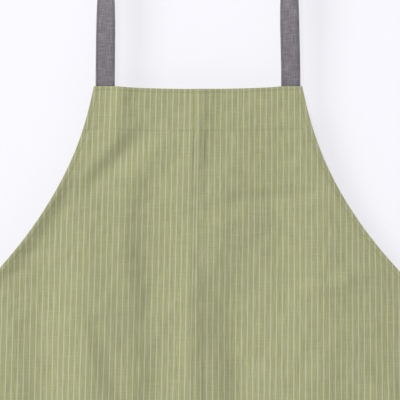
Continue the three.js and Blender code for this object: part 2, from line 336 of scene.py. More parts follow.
class Drape:
    """The hung cloth. It holds how far each point of the flat apron moved when it was hung."""

    def __init__(self, shift):
        self.shift = shift

    def shift_at(self, x, depth):
        across = (x / half_width(depth) + 1) / 2 * SIM_COLUMNS
        upper = depth / ARMHOLE_DEPTH * SIM_ARMHOLE_ROWS
        lower = (depth - ARMHOLE_DEPTH) / (LENGTH - ARMHOLE_DEPTH) * SIM_BODY_ROWS
        down = np.where(depth < ARMHOLE_DEPTH, upper, SIM_ARMHOLE_ROWS + lower)
        last_row, last_column = self.shift.shape[0] - 1, self.shift.shape[1] - 1
        across = np.clip(across, 0, last_column - 1e-6)
        down = np.clip(down, 0, last_row - 1e-6)
        row, column = np.floor(down).astype(int), np.floor(across).astype(int)
        total = 0
        for i, row_weight in enumerate(cubic_weights(down - row)):
            r = np.clip(row + i - 1, 0, last_row)
            for j, column_weight in enumerate(cubic_weights(across - column)):
                c = np.clip(column + j - 1, 0, last_column)
                total = total + (row_weight * column_weight)[..., None] * self.shift[r, c]
        return total

    def surface(self, x, depth):
        placed = flat_place(x, depth) + self.shift_at(x, depth)
        placed[..., 1] -= kept_folds(x, depth)
        return placed

    def point(self, x, depth, forward=0.0):
        """The place of a flat point on the hung cloth, moved forward out of the cloth."""
        x, depth = np.broadcast_arrays(np.asarray(x, float), np.asarray(depth, float))
        step = 0.8 * MM
        across = self.surface(x + step, depth) - self.surface(x - step, depth)
        down = self.surface(x, depth + step) - self.surface(x, depth - step)
        back = np.cross(across, down)
        back /= np.linalg.norm(back, axis=-1, keepdims=True)
        forward = np.broadcast_to(np.asarray(forward, float), x.shape)
        return self.surface(x, depth) - back * forward[..., None]


def bib_sag(x, depth):
    """The bib's top edge hangs a little lower between the straps."""
    between = np.clip(1 - (np.abs(x) / (STRAP_X - STRAP_WIDTH / 2)) ** 2, 0, 1)
    return -3.6 * MM * between**0.7 * np.exp(-depth / 0.16)


def hang_apron():
    x, depth = sim_grid()
    y = PANEL_Y - seeded_waves(x, depth)
    start = points(width_kept(x, y), y, TOP_Z - depth)
    flat = flat_place(x, depth)
    pinned = (np.abs(x) > STRAP_X - STRAP_WIDTH / 2) & (depth < TOP_Z - STRAP_BOTTOM_Z)
    hung = hang_by_simulation(start, flat, pinned)
    shift = hung - flat
    shift[..., 2] += bib_sag(x, depth)
    return Drape(shift)


drape = hang_apron()

# ---- Meshes ----


def new_object(name, corners, faces, material):
    mesh = bpy.data.meshes.new(name)
    mesh.from_pydata(np.asarray(corners).reshape(-1, 3).tolist(), [], [list(f) for f in faces])
    mesh.polygons.foreach_set("use_smooth", [True] * len(mesh.polygons))
    mesh.materials.append(material)
    mesh.update()
    piece = bpy.data.objects.new(name, mesh)
    bpy.context.scene.collection.objects.link(piece)
    return piece


def keep_cloth_coordinates(piece, coordinates):
    """Where each point lies on the woven cloth: across the stripes and along them, in metres."""
    attribute = piece.data.attributes.new("cloth", "FLOAT_VECTOR", "POINT")
    attribute.data.foreach_set("vector", coordinates.astype(np.float32).ravel())


def faces_inwards(front, back):
    """Whether a sheet's faces would point into it when its grid is counted row by row."""
    down = front[1:, :-1] - front[:-1, :-1]
    across = front[:-1, 1:] - front[:-1, :-1]
    outwards = (front - back)[:-1, :-1]
    return np.sum(np.cross(down, across) * outwards) < 0


def closed_sheet(name, front, back, cloth, material):
    """A thin closed sheet between two grids of points."""
    rows, columns = front.shape[:2]
    count = rows * columns
    quads = grid_quads(rows, columns)
    behind = quads[:, ::-1] + count
    ring = np.concatenate([
        np.arange(columns - 1),
        np.arange(rows - 1) * columns + columns - 1,
        count - 1 - np.arange(columns - 1),
        (rows - 1 - np.arange(rows - 1)) * columns,
    ])
    onward = np.roll(ring, -1)
    rim = np.stack([ring, onward, onward + count, ring + count], axis=1)
    corners = np.concatenate([front.reshape(-1, 3), back.reshape(-1, 3)])
    faces = np.concatenate([quads, behind, rim])
    if faces_inwards(front, back):
        faces = faces[:, ::-1]
    piece = new_object(name, corners, faces, material)
    keep_cloth_coordinates(piece, np.concatenate([cloth.reshape(-1, 3)] * 2))
    return piece


def grain_coordinates(x, depth, grain):
    across = (x - grain["phase"] + grain["lean"] * depth) / (1 + grain["fan"] * depth)
    return points(across, depth, 0.0)


def spaced(*stretches):
    """Numbers from each stretch's start to its end in equal steps: (start, end, steps), in mm."""
    parts = [np.linspace(a, b, n, endpoint=False) for a, b, n in stretches]
    return np.append(np.concatenate(parts), stretches[-1][1]) * MM


WAIST, FOOT, FACING = ARMHOLE_DEPTH / MM, LENGTH / MM, FACING_DEPTH / MM
HEM_TOP = FOOT - BOTTOM_HEM / MM
PANEL_ROWS = spaced(
    (0, 5, 6), (5, 60, 22), (60, WAIST, 76), (WAIST, HEM_TOP - 5, 130),
    (HEM_TOP - 5, HEM_TOP + 5, 7), (HEM_TOP + 5, FOOT - 3, 6), (FOOT - 3, FOOT, 4),
)
SEAM_COLUMNS = spaced((0, 3, 5), (3, 13, 11), (13, 22, 6))
EDGE_COLUMNS = spaced((0, 2, 4), (2, 14, 13))
MIDDLE_COLUMNS = 64


def panel_columns(depth, side):
    """X of each column of a panel in each row: near the seam, across, and near the edge."""
    seam = seam_edge(depth)
    edge_gap = EDGE_COLUMNS[::-1][None, :] * edge_stretch(depth)[:, None]
    if side > 0:
        inner = seam[:, None] + SEAM_COLUMNS[None, :]
    else:
        inner = -(seam[:, None] + 9 * MM) + SEAM_COLUMNS[None, :]
    outer = half_width(depth)[:, None] - edge_gap
    share = np.linspace(0, 1, MIDDLE_COLUMNS + 2)[None, 1:-1]
    middle = inner[:, -1:] + (outer[:, :1] - inner[:, -1:]) * share
    x = np.concatenate([inner, middle, outer], axis=1)
    return x if side > 0 else -x[:, ::-1]


def stitched_relief(x, depth):
    """The cloth dips where a row of stitches holds it, and puckers beside it."""
    from_edge = (half_width(depth) - np.abs(x)) / edge_stretch(depth)
    above_waist = 1 - smooth_step(depth, ARMHOLE_DEPTH - 2 * MM, ARMHOLE_DEPTH + 2 * MM)
    edge_row = EDGE_STITCH * above_waist + (SIDE_HEM - 2 * MM) * (1 - above_waist)
    lower = smooth_step(depth, 120 * MM, 135 * MM)
    rows = [
        from_edge - edge_row,
        depth - 4.5 * MM,
        depth - FACING_DEPTH + 1.5 * MM,
        depth - LENGTH + BOTTOM_HEM - 1.5 * MM,
        x - seam_main_row(depth),
    ]
    dip = sum(near(distance, 1.0 * MM) for distance in rows)
    dip = dip + lower * near(x - seam_edge_row(depth), 1.0 * MM)
    dip = dip + (1 - smooth_step(depth, 60 * MM, 66 * MM)) * near(x - 11 * MM, 1.0 * MM)
    ripple = sum([
        1.4 * np.sin(depth * 690 + 2.5 * np.sin(depth * 57)) * near(x - seam_main_row(depth), 7 * MM),
        np.sin(x * 640 + 2 * np.sin(x * 71)) * near(depth - FACING_DEPTH, 6 * MM),
        1.8 * np.sin(depth * 560 + 3 * np.sin(depth * 37)) * near(from_edge - edge_row, 6 * MM),
        np.sin(x * 520 + 2 * np.sin(x * 45)) * near(depth - LENGTH + BOTTOM_HEM, 8 * MM),
    ])
    crease = near(x - seam_edge(depth) + 1.1 * MM, 1.2 * MM)
    crease = crease * (1.0 - 0.55 * smooth_step(depth, 90 * MM, 130 * MM))
    return -0.3 * MM * dip + 0.2 * MM * ripple - 1.3 * MM * crease


def seam_step(x, depth):
    """The right panel lies over the left one along the seam, then comes back to its level."""
    past = x - seam_edge(depth)
    return 1.5 * LAYER * (1 - smooth_step(past, 9.5 * MM, 13 * MM))


def patch(name, x, depth, forward, grain, material, slot, *replaced):
    """A piece of cloth laid on the hung apron, `forward` of its middle layer."""
    x, depth = np.broadcast_arrays(x, depth)
    front = drape.point(x, depth, forward + CLOTH / 2)
    back = drape.point(x, depth, forward - CLOTH / 2)
    piece = closed_sheet(name, front, back, grain_coordinates(x, depth, grain), material)
    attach(piece, "apron")
    for node in replaced:
        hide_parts(node)
    return piece


def make_panel(name, side, material):
    x = panel_columns(PANEL_ROWS, side)
    depth = np.broadcast_to(PANEL_ROWS[:, None], x.shape)
    relief = stitched_relief(x, depth)
    if side > 0:
        relief = relief + seam_step(x, depth)
    return patch(
        "apron_panel_" + name, x, depth, relief, GRAIN[name], material,
        "green_stripe", "front_panel_" + name)


def make_facing(material):
    depth = spaced((1, 4, 3), (4, FACING - 2, 18), (FACING - 2, FACING, 3))[:, None]
    x = np.linspace(-1, 1, 91)[None, :] * (half_width(depth) - 0.6 * MM)
    return patch(
        "bib_facing", x, depth, -LAYER, GRAIN["right"], material, "green_plain", "top_facing")


def make_binding(name, side, material):
    depth = spaced((FACING + 0.6, WAIST - 0.6, 90))[:, None]
    from_edge = np.linspace(9 * MM, 0.5 * MM, 7)[None, :]
    x = side * (half_width(depth) - from_edge * edge_stretch(depth))
    return patch(
        "armhole_edge_" + name, x, depth, -LAYER, GRAIN[name], material,
        "green_plain", "armhole_binding_" + name)


def make_side_hem(name, side, material):
    depth = spaced((WAIST + 1, FOOT - 2, 150))[:, None]
    from_edge = np.linspace(SIDE_HEM, 0.5 * MM, 7)[None, :]
    x = side * (half_width(depth) - from_edge)
    return patch("side_hem_" + name, x, depth, -LAYER, GRAIN[name], material, "green_stripe")


def make_bottom_hem(material):
    depth = (LENGTH - np.linspace(BOTTOM_HEM, 0.6 * MM, 9))[:, None]
    x = np.linspace(-1, 1, 221)[None, :] * (HALF_BODY - 1 * MM)
    return patch("bottom_hem", x, depth, -2.2 * LAYER, GRAIN["right"], material, "green_stripe")


POCKET_HEM = 24 * MM
POCKET_CORNER = 12 * MM
POCKET_LAYER = 2.2 * LAYER
ROW_DIP = 0.3 * MM  # how deep a row of stitches pulls a pocket in


def crowded(low, high, edge, count):
    """Numbers from low to high, closer together within `edge` of both ends."""
    start = np.linspace(low, low + edge, 5)[:-1]
    end = np.linspace(high - edge, high, 5)[1:]
    return np.concatenate([start, np.linspace(low + edge, high - edge, count), end])


def pocket_bulge(x, depth, middle_x, top, width, height):
    """A pocket stands off the apron in the middle, most at its mouth."""
    across = np.clip(1 - ((x - middle_x) / (width / 2)) ** 2, 0, 1)
    down = (depth - top) / height
    mouth = 5.5 * MM * np.exp(-down * 6)
    belly = 1.8 * MM * np.clip(1 - down, 0, 1) * np.sqrt(np.clip(down, 0, 1))
    return across**1.3 * (mouth + belly)


def make_pocket(name, side, material):
    low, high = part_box("pocket_" + name)
    top, bottom = TOP_Z - high.z, TOP_Z - low.z
    width, height = high.x - low.x, bottom - top
    middle_x = (low.x + high.x) / 2
    depth = (top + height * crowded(0, 1, 0.02, 60))[:, None]
    below_corner = np.clip(depth - (bottom - POCKET_CORNER), 0, POCKET_CORNER)
    inset = POCKET_CORNER - np.sqrt(np.maximum(POCKET_CORNER**2 - below_corner**2, 0))
    x = middle_x + crowded(-1, 1, 0.05, 58)[None, :] * (width / 2 - inset)
    from_side = (width / 2 - inset) - np.abs(x - middle_x)
    relief = -ROW_DIP * near(np.minimum(from_side, bottom - depth) - 2 * MM, 0.9 * MM)
    relief = relief - ROW_DIP * near(depth - top - POCKET_HEM, 1.0 * MM)
    forward = POCKET_LAYER + relief + pocket_bulge(x, depth, middle_x, top, width, height)
    shifted = dict(GRAIN[name], phase=GRAIN[name]["phase"] + 2.1 * MM * side)
    return patch(
        "patch_pocket_" + name, x, depth, forward, shifted, material,
        "green_stripe", "pocket_" + name)


# ---- Stitches ----


def resampled(path, step):
    """Points a step apart along a path of flat points."""
    path = np.asarray(path, float)
    lengths = path_lengths(path)
    count = max(2, int(lengths[-1] / step))
    wanted = np.arange(count) * step
    return np.stack([np.interp(wanted, lengths, column) for column in path.T], axis=1)


STITCH_RINGS = [(-0.42, -0.35, 0.5), (-0.2, 0.75, 1.0), (0.2, 0.75, 1.0), (0.42, -0.35, 0.5)]
STITCH_SIDES = 5
THREAD_RADIUS = 0.3 * MM


def thread_stitches(centres, directions, outward, length, radius=THREAD_RADIUS):
    """Points and faces of short threads: each dips into the cloth at both ends."""
    sideways = np.cross(directions, outward)
    sideways /= np.linalg.norm(sideways, axis=1, keepdims=True)
    corners = []
    for along, height, size in STITCH_RINGS:
        middle = centres + directions * (along * length) + outward * (height * radius)
        for k in range(STITCH_SIDES):
            angle = 2 * math.pi * k / STITCH_SIDES
            spoke = sideways * math.cos(angle) + outward * math.sin(angle)
            corners.append(middle + spoke * (radius * size))
    corners = np.stack(corners, axis=1)
    per_stitch = len(STITCH_RINGS) * STITCH_SIDES
    faces = []
    for ring in range(len(STITCH_RINGS) - 1):
        for k in range(STITCH_SIDES):
            a = ring * STITCH_SIDES + k
            b = ring * STITCH_SIDES + (k + 1) % STITCH_SIDES
            faces.append([a + STITCH_SIDES, b + STITCH_SIDES, b, a])
    caps = [list(range(STITCH_SIDES)), [per_stitch - 1 - k for k in range(STITCH_SIDES)]]
    all_faces = []
    for i in range(len(centres)):
        base = i * per_stitch
        all_faces += [[base + v for v in face] for face in faces + caps]
    return corners.reshape(-1, 3), all_faces


def stitches_on_apron(name, rows, material, forward):
    """Rows of stitches along flat paths (x, depth), lying on the hung cloth."""
    centres, ends = [], []
    for path in rows:
        stations = resampled(path, STITCH)
        middle = (stations[1:] + stations[:-1]) / 2
        centres.append(middle)
        ends.append(np.diff(stations, axis=0))
    centres, ends = np.concatenate(centres), np.concatenate(ends)
    relief = forward(centres[:, 0], centres[:, 1])
    place = drape.point(centres[:, 0], centres[:, 1], relief)
    ahead = drape.point(centres[:, 0] + ends[:, 0] / 4, centres[:, 1] + ends[:, 1] / 4, relief)
    above = drape.point(centres[:, 0], centres[:, 1], relief + 1 * MM)
    along = ahead - place
    along /= np.linalg.norm(along, axis=1, keepdims=True)
    corners, faces = thread_stitches(place, along, (above - place) / (1 * MM), STITCH)
    piece = new_object(name, corners, faces, material)
    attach(piece, "apron")
    return piece


def down_row(x_of_depth, start, end, count=200):
    depth = np.linspace(start, end, count)
    return np.stack([x_of_depth(depth) + 0 * depth, depth], axis=1)


def across_row(depth, start, end, count=120):
    x = np.linspace(start, end, count)
    return np.stack([x, 0 * x + depth], axis=1)


def panel_front(x, depth):
    lifted = np.where(x > seam_edge(depth), seam_step(x, depth), 0)
    return stitched_relief(x, depth) + lifted + CLOTH / 2


def apron_stitch_rows():
    facing_half = half_width(FACING_DEPTH)
    rows = [
        down_row(seam_main_row, 3 * MM, LENGTH - 2 * MM, 400),
        down_row(lambda d: 11 * MM, 3 * MM, 63 * MM),
        down_row(seam_edge_row, 128 * MM, LENGTH - 2 * MM, 400),
        across_row(4.5 * MM, -HALF_TOP + 1 * MM, HALF_TOP - 1 * MM),
        across_row(FACING_DEPTH - 1.5 * MM, 8 * MM - facing_half, facing_half - 8 * MM),
        across_row(LENGTH - BOTTOM_HEM + 1.5 * MM, -HALF_BODY + 3 * MM, HALF_BODY - 3 * MM),
    ]
    for side in SIDES.values():
        rows.append(down_row(
            lambda d: side * (half_width(d) - EDGE_STITCH * edge_stretch(d)),
            5 * MM, ARMHOLE_DEPTH - 4 * MM))
        rows.append(down_row(
            lambda d: side * (half_width(d) - SIDE_HEM + 2 * MM),
            ARMHOLE_DEPTH + 4 * MM, LENGTH - 3 * MM))
        rows += tie_box_rows(side)
    return rows


def tie_box_rows(side):
    inset = 3 * MM
    near_x, far_x = side * (tie_end_low.x + inset), side * (HALF_BODY - inset)
    top, bottom = TOP_Z - tie_end_high.z + inset, TOP_Z - tie_end_low.z - inset
    corners = [(near_x, top), (far_x, top), (far_x, bottom), (near_x, bottom), (near_x, top)]
    return [np.array([a, b]) for a, b in zip(corners, corners[1:])]


def pocket_stitch_rows(name):
    low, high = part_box("pocket_" + name)
    top, bottom = TOP_Z - high.z, TOP_Z - low.z
    inset = 2 * MM
    radius = POCKET_CORNER - inset
    arc = [(radius * math.cos(a), radius * math.sin(a)) for a in np.linspace(0, math.pi / 2, 8)]
    centre_depth = bottom - POCKET_CORNER
    right = [(high.x - POCKET_CORNER + a, centre_depth + b) for a, b in arc]
    left = [(low.x + POCKET_CORNER - b, centre_depth + a) for a, b in arc]
    outline = [(high.x - inset, top + 1 * MM), *right, *left, (low.x + inset, top + 1 * MM)]
    hem = across_row(top + POCKET_HEM, low.x + inset, high.x - inset, 40)
    tacks = []
    for x, way in ((low.x + inset, 1), (high.x - inset, -1)):
        for step in range(4):
            d = top + (2 + step * 0.9) * MM
            tacks.append(np.array([(x, d), (x + way * 8 * MM, d)]))
    return [np.array(outline), hem, *tacks]


def pocket_front(name):
    low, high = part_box("pocket_" + name)
    top, height, width = TOP_Z - high.z, high.z - low.z, high.x - low.x

    def forward(x, depth):
        bulge = pocket_bulge(x, depth, (low.x + high.x) / 2, top, width, height)
        return POCKET_LAYER - ROW_DIP + bulge + CLOTH / 2

    return forward


# ---- Straps and ties: woven tape ----

TAPE_THICKNESS = 1.5 * MM
TAPE_EDGE_ROW = 2.4 * MM  # from the tape's edge to its stitches
TAPE_DIP = 0.22 * MM  # how deep the stitches pull the tape in
TAPE_ROW_HEIGHT = TAPE_THICKNESS / 2 - TAPE_DIP
TAPE_THREAD_RADIUS = 0.26 * MM
TAPE_ACROSS = 19


def tape_profile(width):
    """Places across a tape and its half thickness there: thin at the edge, dipped at the stitches."""
    across = np.sin(np.linspace(-1, 1, TAPE_ACROSS) * math.pi / 2) * width / 2
    from_edge = width / 2 - np.abs(across)
    half = TAPE_THICKNESS / 2 * (0.35 + 0.65 * smooth_step(from_edge, 0, 1.2 * MM))
    half = half - TAPE_DIP * near(from_edge - TAPE_EDGE_ROW, 0.8 * MM)
    return across, half


def make_tape(name, centre, wide, out, lengths, material, width):
    """A tape along stations: its centre, its width direction and the direction its front faces."""
    across, half = tape_profile(width)
    spread = centre[:, None] + wide[:, None] * across[None, :, None]
    front = spread + out[:, None] * half[None, :, None]
    back = spread - out[:, None] * half[None, :, None]
    cloth = points(across[None, :], lengths[:, None], 0.0)
    return closed_sheet(name, front, back, cloth, material)


def across_offsets(width):
    """The places of the stitches in a row across a tape."""
    reach = width / 2 - TAPE_EDGE_ROW
    return np.arange(-reach, reach, STITCH) + STITCH / 2


def stitches_on_both_faces(name, rows, material):
    """Stitches from rows of places in a tape's middle, directions, fronts and heights."""
    places, ways, outs = [], [], []
    for middle, way, out, height in rows:
        for face in (-1, 1):
            places.append(middle + out * face * height)
            ways.append(way)
            outs.append(out * face)
    corners, faces = thread_stitches(
        np.concatenate(places), np.concatenate(ways), np.concatenate(outs), STITCH, TAPE_THREAD_RADIUS)
    return new_object(name, corners, faces, material)


def strap_stitches(name, centre, wide, out, lengths, material):
    """Two rows of stitches along the strap, and rows across both of its sewn ends."""
    stations = np.arange(STITCH, lengths[-1] - STITCH, STITCH)

    def at(values, s):
        return np.stack([np.interp(s, lengths, column) for column in values.T], axis=1)

    rows = []
    for row in (-1, 1):
        offset = row * (STRAP_WIDTH / 2 - TAPE_EDGE_ROW)
        middle = at(centre, stations) + at(wide, stations) * offset
        ahead = stations + STITCH / 4
        along = at(centre, ahead) + at(wide, ahead) * offset - middle
        along /= np.linalg.norm(along, axis=1, keepdims=True)
        rows.append((middle, along, at(out, stations), TAPE_ROW_HEIGHT))
    offsets = across_offsets(STRAP_WIDTH)
    for length in [place for row in SEWN_ROWS for place in (row, lengths[-1] - row)]:
        s = np.full(len(offsets), length)
        middle = at(centre, s) + at(wide, s) * offsets[:, None]
        rows.append((middle, at(wide, s), at(out, s), TAPE_ROW_HEIGHT + 0.1 * MM))
    return stitches_on_both_faces(name, rows, material)


WRAP_RADIUS = STRAP_X - HOOK_X
STRAP_HALF = 1 * MM  # half the strap's thickness in the frame
LIFT = next(joint["range_m"][1] for joint in frame["joints"] if joint["name"] == "loop_lift")
# The quarter turn ends this far below the hooks, so a lifted loop stays clear of them.
TWIST_END_Z = STRAP_TOP_Z - STRAP_HALF - WRAP_RADIUS - LIFT - 13.5 * MM
TWIST_POWER = 3
TWIST_EASE = 0.07  # how softly the quarter turn ends
STRAP_SAG = 1.2 * MM
SEWN_ROWS = (4 * MM, 17 * MM)  # rows across each sewn end, from the end of the tape
STRAP_BOW = {"left": 0.9 * MM, "right": 1.7 * MM}  # how far each hanging part bows inwards


def strap_half():
    """Centre, width and front directions of the strap's left half, from its sewn end to the middle."""
    rod_z = STRAP_TOP_Z - STRAP_HALF - WRAP_RADIUS
    rise = np.arange(STRAP_BOTTOM_Z, rod_z, 2.5 * MM)
    twisted = np.clip((rise - TOP_Z) / (TWIST_END_Z - TOP_Z), 0, 1.3) ** TWIST_POWER
    turn = math.pi / 2 * (1 - TWIST_EASE * np.log1p(np.exp((1 - twisted) / TWIST_EASE)))
    bend = np.linspace(0, math.pi / 2, 12, endpoint=False)
    run = np.linspace(0, HOOK_X, 44)
    sag = STRAP_SAG * np.sin(math.pi * run / (2 * HOOK_X))
    centre = [
        points(-STRAP_X, STRAP_Y, rise),
        points(-HOOK_X - WRAP_RADIUS * np.cos(bend), STRAP_Y, rod_z + WRAP_RADIUS * np.sin(bend)),
        points(run - HOOK_X, STRAP_Y, rod_z + WRAP_RADIUS - sag),
    ]
    wide = [points(np.cos(turn), -np.sin(turn), 0), points(0 * bend, -1, 0), points(0 * run, -1, 0)]
    along = [points(0 * rise, 0, 1), points(np.sin(bend), 0, np.cos(bend)), points(0 * run + 1, 0, 0)]
    return [np.concatenate(part) for part in (centre, wide, along)]


def strap_stations():
    """The whole strap: its left half and that half's mirror image, walked on to the right end."""
    centre, wide, along = strap_half()
    centre = np.concatenate([centre, centre[-2::-1] * [-1, 1, 1]])
    wide = np.concatenate([wide, wide[-2::-1] * [1, 1, -1]])
    along = np.concatenate([along, along[-2::-1] * [1, -1, -1]])
    height = np.clip((centre[:, 2] - TOP_Z) / (STRAP_TOP_Z - TOP_Z), 0, 1)
    bow = np.sin(math.pi * height) ** 2
    inwards = np.where(centre[:, 0] < 0, STRAP_BOW["left"], -STRAP_BOW["right"])
    hanging = np.abs(centre[:, 0]) > HOOK_X
    centre[:, 0] += np.where(hanging, inwards * bow, 0)
    return centre, wide, np.cross(wide, along)


def make_strap(cloth_material, thread_material):
    centre, wide, out = strap_stations()
    lengths = path_lengths(centre)
    strap = make_tape("neck_strap_tape", centre, wide, out, lengths, cloth_material, STRAP_WIDTH)
    thread = strap_stitches("neck_strap_stitches", centre, wide, out, lengths, thread_material)
    for piece in (strap, thread):
        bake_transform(piece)
    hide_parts("neck_strap", "strap_end_left", "strap_end_right")


# ---- Waist ties ----

FOLD_RADIUS = 1.1 * MM
BEHIND_HEM = 0.5 * MM  # the tie's sewn end lies behind the side hem


def tie_point(run, across, hang):
    """A point of the tie: level, then folded over a slanting line so that it hangs down."""
    root = math.sqrt(2)
    off = (run + across) / root
    along = (run - across) / root
    half_turn = FOLD_RADIUS * math.pi / 2
    angle = np.clip((off + half_turn) / FOLD_RADIUS, 0, math.pi)
    out = np.where(off < -half_turn, off + half_turn, np.where(off > half_turn, half_turn - off, 0))
    out = out + FOLD_RADIUS * np.sin(angle)
    x = (along + out) / root
    z = (out - along) / root
    y = FOLD_RADIUS * (1 - np.cos(angle))
    down = np.clip(-z, 0, None)
    swing = smooth_step(down, 10 * MM, 90 * MM)
    twist = hang["twist"] * smooth_step(down, 15 * MM, hang["twist_length"])
    centre_x = hang["sway"] * np.sin(down * hang["waves"]) * swing
    centre_y = hang["depth"] * np.sin(down * hang["waves"] * 0.8 + 1) * swing
    y = y + np.where(down > 0, x * np.sin(twist) + centre_y, 0)
    x = np.where(down > 0, x * np.cos(twist) + centre_x, x)
    return x, y, z


HANGS = {
    "left": {"twist": -0.6, "twist_length": 0.45, "sway": 3.0 * MM, "depth": 3.5 * MM, "waves": 11},
    "right": {"twist": 0.5, "twist_length": 0.6, "sway": 2.5 * MM, "depth": 4.0 * MM, "waves": 9},
}


def carried_by_cloth(side, x, z):
    """How far the hung cloth carries a point of the tie. Past the apron's edge it goes with the edge."""
    flat_x = side * np.clip(TIE_X + x, 0, HALF_BODY - 0.5 * MM)
    depth = TOP_Z - TIE_Z + np.clip(-z, -TIE_WIDTH / 2, TIE_WIDTH / 2)
    return drape.surface(flat_x, depth) - flat_place(flat_x, depth)


def tie_grid(name, side, run, across):
    x, y, z = tie_point(run, across, HANGS[name])
    place = points(side * (TIE_X + x), TIE_Y + BEHIND_HEM + y, TIE_Z + z)
    return place + carried_by_cloth(side, x, z)


def tie_frame(name, side, run, across):
    """Places on the tie's middle layer and the direction that its front faces."""
    step = 0.3 * MM
    place = tie_grid(name, side, run, across)
    ahead = tie_grid(name, side, run + step, across) - tie_grid(name, side, run - step, across)
    wide = tie_grid(name, side, run, across + step) - tie_grid(name, side, run, across - step)
    out = np.cross(ahead, wide) * side
    out /= np.linalg.norm(out, axis=-1, keepdims=True)
    ahead /= np.linalg.norm(ahead, axis=-1, keepdims=True)
    return place, ahead, out


def make_tie(name, side, cloth_material, thread_material):
    across, half = tape_profile(TIE_WIDTH)
    start = -(TIE_X - tie_end_low.x)
    end = TIE_Z - TIE_BOTTOM_Z
    fold = 22 * MM  # the reach of the close stations about the folded corner
    along = np.concatenate([
        np.arange(start, -fold, 3 * MM), np.arange(-fold, fold, 0.5 * MM),
        np.arange(fold, end, 4 * MM), [end]])
    shear = near(along, 20 * MM)
    run = along[:, None] - across[None, :] * shear[:, None]
    run = np.clip(run, start, end)
    wide_across = np.broadcast_to(across[None, :], run.shape)
    place, _, out = tie_frame(name, side, run, wide_across)
    front = place + out * half[None, :, None]
    back = place - out * half[None, :, None]
    cloth = points(wide_across, run, 0.0)
    tie = closed_sheet("waist_tie_tape_" + name, front, back, cloth, cloth_material)
    thread = tie_stitches(name, side, start, end, thread_material)
    for piece in (tie, thread):
        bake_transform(piece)
    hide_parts("waist_tie_end_" + name, "waist_tie_" + name)


def tie_stitches(name, side, start, end, material):
    stations = np.arange(start + 2 * STITCH, end - STITCH, STITCH)
    rows = []
    for row in (-1, 1):
        offsets = np.full(len(stations), row * (TIE_WIDTH / 2 - TAPE_EDGE_ROW))
        place, ahead, out = tie_frame(name, side, stations, offsets)
        rows.append((place, ahead, out, TAPE_ROW_HEIGHT))
    offsets = across_offsets(TIE_WIDTH)
    for hem in (3 * MM, 10 * MM):
        place, ahead, out = tie_frame(name, side, np.full(len(offsets), end - hem), offsets)
        rows.append((place, np.cross(out, ahead), out, TAPE_ROW_HEIGHT + 0.1 * MM))
    return stitches_on_both_faces("waist_tie_stitches_" + name, rows, material)


# ---- Materials ----


class Nodes:
    """A short way to write a material's node tree."""

    def __init__(self, name):
        self.material = bpy.data.materials.new(name)
        self.material.use_nodes = True
        self.tree = self.material.node_tree
        self.shader = self.tree.nodes["Principled BSDF"]

    def add(self, kind, inputs=(), output=0, **settings):
        node = self.tree.nodes.new(kind)
        for key, value in settings.items():
            setattr(node, key, value)
        for key, value in dict(inputs).items():
            self.put(node.inputs[key], value)
        return node.outputs[output]

    def put(self, socket, value):
        if isinstance(value, bpy.types.NodeSocket):
            self.tree.links.new(value, socket)
        else:
            socket.default_value = value

    def math(self, operation, *values):
        return self.add("ShaderNodeMath", dict(enumerate(values)), operation=operation)

    def mix(self, share, a, b, blend="MIX"):
        return self.add(
            "ShaderNodeMix", {0: share, 6: a, 7: b}, output=2, data_type="RGBA", blend_type=blend)

    def remap(self, value, low, high, to_low=0.0, to_high=1.0):
        ends = {0: value, 1: low, 2: high, 3: to_low, 4: to_high}
        return self.add("ShaderNodeMapRange", ends, interpolation_type="SMOOTHSTEP")

    def tint(self, base, where, low, high, amount, tone):
        """The base colour with some of a tone where a value is high."""
        return self.mix(self.math("MULTIPLY", self.remap(where, low, high), amount), base, tone)

    def object_place(self):
        return self.add("ShaderNodeTexCoord", output=3)

    def noise(self, vector, scale, detail=2.0, stretch=(1, 1, 1)):
        stretched = self.add("ShaderNodeVectorMath", {0: vector, 1: stretch}, operation="MULTIPLY")
        return self.add("ShaderNodeTexNoise", {"Vector": stretched, "Scale": scale, "Detail": detail})

    def cloth_place(self):
        place = self.tree.nodes.new("ShaderNodeAttribute")
        place.attribute_name = "cloth"
        split = self.tree.nodes.new("ShaderNodeSeparateXYZ")
        self.tree.links.new(place.outputs["Vector"], split.inputs[0])
        return place.outputs["Vector"], split.outputs[0], split.outputs[1]

    def weave(self, across, along, pitch, share, yarn):
        """Height of a plain weave, where warp and weft pass over each other, with its yarn's."""
        turns = 2 * math.pi / pitch
        warp = self.math("SINE", self.math("MULTIPLY", across, turns))
        weft = self.math("SINE", self.math("MULTIPLY", along, turns))
        woven = self.math("MULTIPLY", self.math("MULTIPLY", warp, weft), share)
        return self.math("ADD", woven, self.math("MULTIPLY", yarn, 0.8))

    def finish(self, colour, roughness, height, distance, **fixed):
        self.put(self.shader.inputs["Base Color"], colour)
        self.put(self.shader.inputs["Roughness"], roughness)
        bump = self.add("ShaderNodeBump", {"Height": height, "Distance": distance, "Strength": 0.6})
        self.put(self.shader.inputs["Normal"], bump)
        for key, value in fixed.items():
            self.shader.inputs[key.replace("_", " ")].default_value = value
        return self.material


def rgb(red, green, blue):
    """A colour from its 0 to 255 screen values."""
    return (*[((c / 255 + 0.055) / 1.055) ** 2.4 for c in (red, green, blue)], 1.0)


COTTON_PITCH = 0.95 * MM  # from one crossing of the weave to the next but one


